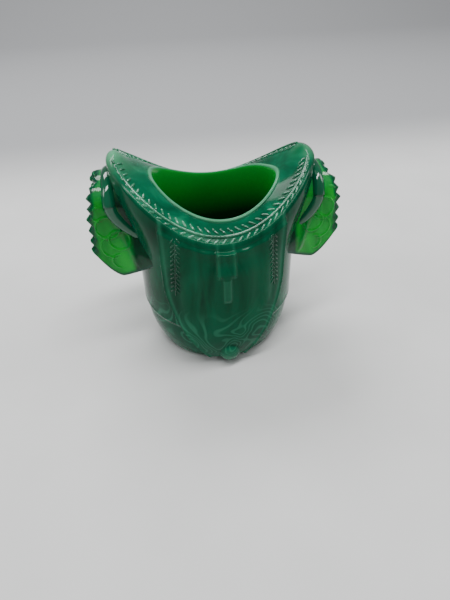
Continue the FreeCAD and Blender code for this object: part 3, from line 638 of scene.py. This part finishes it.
def drape(side):
    """Half of the blanket from its hem to its crown, as (along, around) grids of its points, of
    its outward direction in y and z, and of the distance to its free rim."""
    top = BLANKET_TOP[side]
    leg_top = top - SHOULDER_DROP
    u = np.linspace(0.0, 1.0, DRAPE_ROWS)[:, None]
    panel = leg_top - HEM_CORNER
    arc = SHOULDER * math.pi / 2
    travelled = np.linspace(0.0, 1.0, DRAPE_COLUMNS)[None, :] * (panel + arc + BLANKET_HALF - SHOULDER)
    turn = np.clip((travelled - panel) / arc, 0.0, 1.0) * math.pi / 2
    run_in = np.clip(travelled - panel - arc, 0.0, None)
    level = leg_top - np.clip(panel - travelled, 0.0, None) + (top - leg_top) * np.sin(turn)
    reach = free_edge(level, top) - root_line(level)
    x = root_line(level) + reach * u
    hem = hem_height(x)
    on_leg = np.clip(travelled / panel, 0.0, 1.0)
    z = np.where(travelled < panel, hem + (leg_top - hem) * on_leg, level)
    y = -(blanket_half(x, z) - SHOULDER * (1 - np.cos(turn))) + run_in
    wave = np.abs(((travelled / TOOTH_PITCH + TOOTH_START) % 1.0) * 2 - 1)
    near_edge = smooth((u - 0.82) / 0.18)
    x = x + TOOTH * (0.5 - wave) * near_edge * smooth(travelled / 1.2)
    outward_y = -np.cos(turn) + 0 * u
    outward_z = np.sin(turn) + 0 * u
    rim = np.minimum((1 - u) * reach, z - hem)
    return x, y, z, outward_y, outward_z, rim


def both_halves(grid, sign=1):
    """A grid over half of the drape carried on over the other half, by mirroring it."""
    return np.concatenate([grid, sign * grid[:, -2::-1]], axis=1)


def outward_normals(piece):
    """Turn every face of a closed mesh outwards."""
    bpy.context.view_layer.objects.active = piece
    piece.select_set(True)
    bpy.ops.object.mode_set(mode="EDIT")
    bpy.ops.mesh.select_all(action="SELECT")
    bpy.ops.mesh.normals_make_consistent(inside=False)
    bpy.ops.object.mode_set(mode="OBJECT")
    piece.select_set(False)


def make_blanket(side):
    """A draped sheet with a serrated free edge; side is -1 for the left and 1 for the right."""
    x, y, z, outward_y, outward_z, rim = drape(side)
    rounding = RIM * (1 - np.sqrt(1 - (1 - np.clip(rim / RIM, 0.0, 1.0)) ** 2))
    on_panel = (outward_z < 0.5) * smooth(rim / 1.5)
    layers = []
    for offset in (ornament(x, z) * on_panel - rounding, rounding - BLANKET_THICK):
        layer_y = both_halves(y + outward_y * offset, -1)
        layer_z = both_halves(z + outward_z * offset)
        layers.append(np.stack([both_halves(x) * side, layer_y, layer_z], axis=-1))
    outer, inner = layers
    rows, columns = outer.shape[:2]
    count = 2 * columns
    faces = ring_faces(rows, count)
    for row in (0, rows - 1):
        for column in range(columns - 1):
            near = row * count + column
            far = row * count + count - 1 - column
            faces.append((near, near + 1, far - 1, far))
    points = np.concatenate([outer, inner[:, ::-1]], axis=1).reshape(-1, 3)
    piece = object_from(LEFT_RIGHT[side] + "_blanket", points, faces)
    outward_normals(piece)
    # The free mask marks where the blanket stands clear of the body: painted glow there, painted shade over
    # the body
    inner_line = 23.2 + 0.35 * np.clip(z - 42.0, 0.0, 20.0) - 1.0 * side
    # The rim mask is painted shade along the blanket's edge
    masks = {"rim": smooth((1.9 - rim) / 1.1), "free": smooth((x - inner_line) / 1.6 + 0.5),
             # The band mask is a painted shadow along the rib
             "roof": smooth((outward_z - 0.25) / 0.5), "band": rib_band(x, z, 1.3)}
    for name, mask in masks.items():
        layer = both_halves(mask)
        set_attribute(piece, name, np.concatenate([layer, layer[:, ::-1]], axis=1).reshape(-1))
    return piece


ROLL_X = 28.4
ROLL_HALF = 8.3
ROLL_ARCH = 6.6
ROLL_LEG = 10.5
ROLL_IN = 7.6
ROLL_THIN, ROLL_THICK = 1.1, 0.65


def make_roll(side):
    """The rolled edge between saddle and blanket: over the crown and down into the saddle's wall."""
    top = BLANKET_TOP[side] - 0.8
    arch = np.linspace(0.0, 1.35, 40)
    half_path = [(ROLL_X, -ROLL_HALF * math.sin(a), top - ROLL_ARCH * (1 - math.cos(a))) for a in arch]
    start_y, start_z = half_path[-1][1:]
    half_path += [(ROLL_X - ROLL_IN * t ** 1.7, start_y - 0.3 * t, start_z - ROLL_LEG * t) for t in steps(39)]
    half_path = np.array(half_path)
    mirror = half_path[:0:-1] * np.array([1, -1, 1])
    path = np.vstack([mirror, half_path]) * np.array([side, 1, 1])
    taper = smooth((path[:, 2] - (top - 17.0)) / 9.0)
    return joined(LEFT_RIGHT[side] + "_roll", [tube_mesh(path, ROLL_THIN + ROLL_THICK * taper, 24)])


# ------------------------------------------------------------- materials
BLACK = (0, 0, 0)
WHITE = (1, 1, 1)
DEEP = (0.0, 0.014, 0.006)
BOTTLE = (0.0, 0.022, 0.009)
EMERALD = (0.0, 0.056, 0.024)
JADE = (0.0, 0.095, 0.042)
MINT = (0.045, 0.27, 0.15)
PALE = (0.15, 0.50, 0.27)
# Lighter grey-green on the lower barrel: a painted sheen
FOOT_PAINTED_SHEEN = (0.004, 0.10, 0.052)
SPOT_GREEN = (0.0, 0.10, 0.035)
SEAT_GREENS = [(0.28, (0.0, 0.042, 0.018)), (0.50, (0.0, 0.090, 0.040)), (0.75, (0.02, 0.19, 0.095))]
# Inside the cup: a painted glow at its top, painted shade deeper down
CUP_PAINTED_GLOW_AND_SHADE = [(0.0, (0.0, 0.30, 0.030)), (0.30, (0.0, 0.17, 0.012)), (0.65, (0.0, 0.024, 0.004)),
              (1.0, (0.0, 0.003, 0.0))]
MARK_GREENS = [(0.30, EMERALD), (0.52, (0.02, 0.17, 0.085)), (0.75, (0.08, 0.33, 0.19))]
STITCH_GREENS = [(0.30, DEEP), (0.52, EMERALD), (0.75, JADE)]
ROLL_GREENS = [(0.30, EMERALD), (0.52, (0.0, 0.085, 0.036)), (0.75, JADE)]
# Painted glow of backlight through the free blanket; painted shade where it lies on the body
BACKLIT_PAINTED_GLOW = [(0.30, (0.0, 0.22, 0.012)), (0.50, (0.0, 0.33, 0.024)), (0.74, (0.0, 0.44, 0.036))]
BACKED_PAINTED_SHADE = [(0.30, (0.0, 0.022, 0.008)), (0.70, (0.0, 0.050, 0.018))]
# The rib is moulded; its dark band is a painted shadow
RIB_PAINTED_SHADOW = (0.0, 0.065, 0.018)
# Paler roof: a painted reflection of the light above
ROOF_PAINTED_REFLECTION = (0.03, 0.22, 0.085)
# Painted shade along the blanket's edge
RIM_PAINTED_SHADE = (0.0, 0.050, 0.028)
FLOOR_NEAR = [(0.3, (0.60, 0.605, 0.60)), (0.7, (0.64, 0.645, 0.64))]
FLOOR_FAR = (0.31, 0.315, 0.325)


class Nodes:
    """Short names for building one node material."""

    def __init__(self, name):
        self.material = bpy.data.materials.new(name)
        self.material.use_nodes = True
        self.tree = self.material.node_tree
        self.shader = self.tree.nodes["Principled BSDF"]

    def feed(self, socket, value):
        """Give a socket a link, a colour or a plain value."""
        if hasattr(value, "is_output"):
            self.tree.links.new(value, socket)
        elif isinstance(value, tuple) and socket.type == "RGBA":
            socket.default_value = (*value, 1.0)
        else:
            socket.default_value = value

    def add(self, kind, **inputs):
        node = self.tree.nodes.new(kind)
        for key, value in inputs.items():
            self.feed(node.inputs[key.replace("_", " ")], value)
        return node

    def math(self, operation, first, second=0.0):
        node = self.tree.nodes.new("ShaderNodeMath")
        node.operation = operation
        self.feed(node.inputs[0], first)
        self.feed(node.inputs[1], second)
        return node.outputs[0]

    def mix(self, share, first, second):
        node = self.tree.nodes.new("ShaderNodeMix")
        node.data_type = "RGBA"
        self.feed(node.inputs[0], share)
        self.feed(node.inputs[6], first)
        self.feed(node.inputs[7], second)
        return node.outputs[2]

    def mask(self, name, strength=1.0):
        """One of the masks painted on the mesh, weakened by a factor."""
        node = self.tree.nodes.new("ShaderNodeAttribute")
        node.attribute_name = name
        return self.math("MULTIPLY", node.outputs["Fac"], strength)

    def ramp(self, value, stops):
        node = self.tree.nodes.new("ShaderNodeValToRGB")
        self.feed(node.inputs[0], value)
        elements = node.color_ramp.elements
        elements[0].position, elements[0].color = stops[0][0], (*stops[0][1], 1.0)
        elements[1].position, elements[1].color = stops[-1][0], (*stops[-1][1], 1.0)
        for position, color in stops[1:-1]:
            element = elements.new(position)
            element.color = (*color, 1.0)
        return node.outputs[0]

    def shade(self, **inputs):
        """Inputs of the shader, by name."""
        for key, value in inputs.items():
            self.feed(self.shader.inputs[key.replace("_", " ")], value)


def object_place(nodes):
    return nodes.add("ShaderNodeTexCoord").outputs["Object"]


def slag_noise(nodes, scale, twist):
    """Clouds of poured slag glass, stretched along the pour."""
    stretch = nodes.add("ShaderNodeMapping", Vector=object_place(nodes), Scale=(scale, scale, scale * 0.45),
                        Rotation=(0.0, 0.35, twist))
    cloud = nodes.add("ShaderNodeTexNoise", Vector=stretch.outputs[0], Scale=1.0, Detail=3.0,
                      Roughness=0.55, Distortion=1.6)
    return cloud.outputs[0]


def flow_lines(nodes):
    """Fine contour lines of the pour, fanning over the foot of the barrel like malachite."""
    stretch = nodes.add("ShaderNodeMapping", Vector=object_place(nodes), Scale=(55.0, 20.0, 62.0),
                        Location=(0.25, 0.0, -0.3), Rotation=(0.0, 0.5, 0.0))
    cloud = nodes.add("ShaderNodeTexNoise", Vector=stretch.outputs[0], Scale=1.0, Detail=1.0,
                      Roughness=0.4, Distortion=0.9)
    bands = nodes.math("SINE", nodes.math("MULTIPLY", cloud.outputs[0], 130.0))
    return nodes.ramp(bands, [(0.25, BLACK), (0.9, WHITE)])


def glass_skin(nodes, ripple_scale, ripple_strength, roughness):
    """Fire-polished surface: faint ripple and a thin clear gloss."""
    ripple = nodes.add("ShaderNodeTexNoise", Vector=object_place(nodes), Scale=ripple_scale, Detail=2.0)
    bend = nodes.add("ShaderNodeBump", Height=ripple.outputs[0], Strength=ripple_strength, Distance=0.0006)
    nodes.shade(Normal=bend.outputs[0], Roughness=roughness, IOR=1.42, Subsurface_Radius=(0.2, 1.0, 0.5),
                Subsurface_Scale=0.002)


def casting_material():
    """Slag glass: clouded walls, swirls and a painted sheen at the foot, a paler seat, a painted highlight on
    the lip, and a cup with a painted glow at its top and painted shade deeper down.
    """
    nodes = Nodes("slag_glass_casting")
    fold = slag_noise(nodes, 70.0, 0.4)
    body = nodes.ramp(fold, [(0.30, BOTTLE), (0.50, EMERALD), (0.74, JADE)])
    # Painted sheen over the lower barrel
    body = nodes.mix(nodes.mask("low", 0.4), body, FOOT_PAINTED_SHEEN)
    body = nodes.mix(nodes.math("MULTIPLY", flow_lines(nodes), nodes.mask("low", 0.30)), body, MINT)
    body = nodes.mix(nodes.mask("seat"), body, nodes.ramp(fold, SEAT_GREENS))
    body = nodes.mix(nodes.mask("edge", 0.30), body, MINT)
    # The pale mask holds the pale tips and the lip's painted highlight
    body = nodes.mix(nodes.mask("pale", 0.8), body, PALE)
    body = nodes.mix(nodes.mask("spot", 0.9), body, SPOT_GREEN)
    # Painted glow at the top of the cup, painted shade deeper down
    body = nodes.mix(nodes.mask("in_cup"), body, nodes.ramp(nodes.mask("cup_depth"), CUP_PAINTED_GLOW_AND_SHADE))
    glass_skin(nodes, 160.0, 0.10, 0.14)
    nodes.shade(Base_Color=body, Specular_IOR_Level=0.12, Subsurface_Weight=0.15)
    return nodes.material


def mark_material(name, greens, gloss):
    """Raised marks in the same glass, in the given greens over slag clouds."""
    nodes = Nodes(name)
    glass_skin(nodes, 300.0, 0.1, 0.09)
    nodes.shade(Base_Color=nodes.ramp(slag_noise(nodes, 70.0, 0.4), greens), Coat_Weight=gloss,
                Coat_Roughness=0.04)
    return nodes.material


def blanket_material():
    """Thin glass with painted light: a painted glow of backlight where it stands free, painted shade where it
    lies on the body, painted shade along its rim, a painted shadow along its rib and a painted reflection on
    its roof.
    """
    nodes = Nodes("translucent_green_glass")
    fold = slag_noise(nodes, 95.0, 1.1)
    # Painted shade over the body, painted glow of backlight where the blanket stands free
    body = nodes.mix(nodes.mask("free"), nodes.ramp(fold, BACKED_PAINTED_SHADE), nodes.ramp(fold, BACKLIT_PAINTED_GLOW))
    # Painted shadow along the rib
    body = nodes.mix(nodes.mask("band", 0.6), body, RIB_PAINTED_SHADOW)
    # Painted reflection on the blanket's roof
    body = nodes.mix(nodes.mask("roof", 0.6), body, ROOF_PAINTED_REFLECTION)
    # Painted shade along the rim
    body = nodes.mix(nodes.mask("rim", 0.92), body, RIM_PAINTED_SHADE)
    glass_skin(nodes, 260.0, 0.2, 0.10)
    nodes.shade(Base_Color=body, Specular_IOR_Level=0.3, Transmission_Weight=0.1, Subsurface_Weight=0.5,
                Subsurface_Scale=0.004)
    return nodes.material


def floor_material():
    """Pale floor that falls away to a darker background."""
    nodes = Nodes("pale_floor")
    cloud = nodes.add("ShaderNodeTexNoise", Vector=object_place(nodes), Scale=30.0, Detail=3.0)
    near = nodes.ramp(cloud.outputs[0], FLOOR_NEAR)
    axes = nodes.add("ShaderNodeSeparateXYZ", Vector=object_place(nodes))
    far = nodes.add("ShaderNodeMapRange", Value=axes.outputs[1], From_Min=0.09, From_Max=0.20)
    far.interpolation_type = "SMOOTHSTEP"
    nodes.shade(Base_Color=nodes.mix(far.outputs[0], near, FLOOR_FAR), Roughness=0.85)
    return nodes.material


# ------------------------------------------------------------- put together
def finish_piece(piece, material, slot, *replaced):
    """Give a piece its material, its body and the CAD nodes that it stands for; the slot is not used."""
    piece.data.materials.append(material)
    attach(piece, "root")
    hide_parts(*replaced)


glass = casting_material()
mark_glass = mark_material("slag_glass_marks", MARK_GREENS, 0.6)
stitch_glass = mark_material("slag_glass_stitches", STITCH_GREENS, 0.1)
roll_glass = mark_material("slag_glass_rolls", ROLL_GREENS, 0.4)
thin_glass = blanket_material()

finish_piece(make_casting(), glass, "barrel_glass",
             "foot_ring", "cup_floor", "lower_staves", "barrel_hoop", "upper_barrel", "cantle", "pommel",
             "cantle_roll", "pommel_horn", "front_seat_wall", "rear_seat_wall", "mouth_lip",
             "front_border", "rear_border", "front_fender", "rear_fender", "front_strap", "rear_strap",
             "front_stirrup_knob", "rear_stirrup_knob")
for side, word in FRONT_REAR.items():
    finish_piece(border_line(side), mark_glass, "saddle_glass", f"{word}_border_ridge")
    finish_piece(border_marks(side), mark_glass, "saddle_glass", f"{word}_border_barbs")
    finish_piece(stitches(side), stitch_glass, "barrel_glass", f"{word}_stitching")
for side, word in LEFT_RIGHT.items():
    finish_piece(make_blanket(side), thin_glass, "blanket_glass", f"{word}_blanket_front",
                 f"{word}_blanket_top", f"{word}_blanket_rear", f"{word}_blanket_rosettes")
    finish_piece(make_roll(side), roll_glass, "saddle_glass", f"{word}_blanket_roll")

# ------------------------------------------------------------- floor, light, camera (m)
FLOOR_REACH = 1.6
FLOOR_DEEP = 0.55
COVE = 0.25


def make_floor():
    """A floor that curves up at the back."""
    cove = [(FLOOR_DEEP + COVE * math.sin(a), COVE - COVE * math.cos(a)) for a in np.linspace(0, 1.3, 14)]
    sweep = [(-FLOOR_REACH, 0.0)] + cove
    points = [(x, y, z) for y, z in sweep for x in (-FLOOR_REACH, FLOOR_REACH)]
    faces = [(2 * i, 2 * i + 1, 2 * i + 3, 2 * i + 2) for i in range(len(sweep) - 1)]
    floor = object_from("floor", np.array(points) / MM, faces)
    floor.data.materials.append(floor_material())


CENTRE = Vector((0, 0, 0.03))


def area_light(name, place, size, power):
    """A rectangular light that points at the middle of the object."""
    light = bpy.data.lights.new(name, "AREA")
    light.shape = "RECTANGLE"
    light.size, light.size_y = size
    light.energy = power
    lamp = bpy.data.objects.new(name, light)
    lamp.location = place
    lamp.rotation_euler = (CENTRE - Vector(place)).to_track_quat("-Z", "Y").to_euler()
    bpy.context.scene.collection.objects.link(lamp)


make_floor()
area_light("window_back", (-0.12, 0.40, 0.60), (0.45, 0.25), 4.2)
area_light("ceiling", (0.06, -0.17, 0.9), (0.8, 0.14), 8.0)
area_light("window_left", (-0.75, -0.1, 0.55), (0.25, 0.4), 2.0)
area_light("window_right", (0.75, 0.0, 0.55), (0.25, 0.4), 2.0)

SKY_COLOUR = (0.80, 0.81, 0.82, 1)
SKY_STRENGTH = 0.32
world = bpy.data.worlds.new("studio")
world.use_nodes = True
world.node_tree.nodes["Background"].inputs[0].default_value = SKY_COLOUR
world.node_tree.nodes["Background"].inputs[1].default_value = SKY_STRENGTH
bpy.context.scene.world = world

YAW = math.radians(7.66)
PITCH = math.radians(39.0)
ROLL = math.radians(-1.75)
CAMERA_PLACE = Vector((-0.0135, -0.1187, 0.1044))
forward = Vector((math.sin(YAW) * math.cos(PITCH), math.cos(YAW) * math.cos(PITCH), -math.sin(PITCH)))
level_right = Vector((math.cos(YAW), -math.sin(YAW), 0))
level_up = level_right.cross(forward)
right = level_right * math.cos(ROLL) + level_up * math.sin(ROLL)
up = level_up * math.cos(ROLL) - level_right * math.sin(ROLL)
camera_data = bpy.data.cameras.new("camera")
camera_data.sensor_width = 36.0
camera_data.lens = 27.06
camera_data.clip_start = 0.005
camera = bpy.data.objects.new("camera", camera_data)
turned = Matrix((right, up, -forward)).transposed()
camera.matrix_world = Matrix.Translation(CAMERA_PLACE) @ turned.to_4x4()
bpy.context.scene.collection.objects.link(camera)
bpy.context.scene.camera = camera
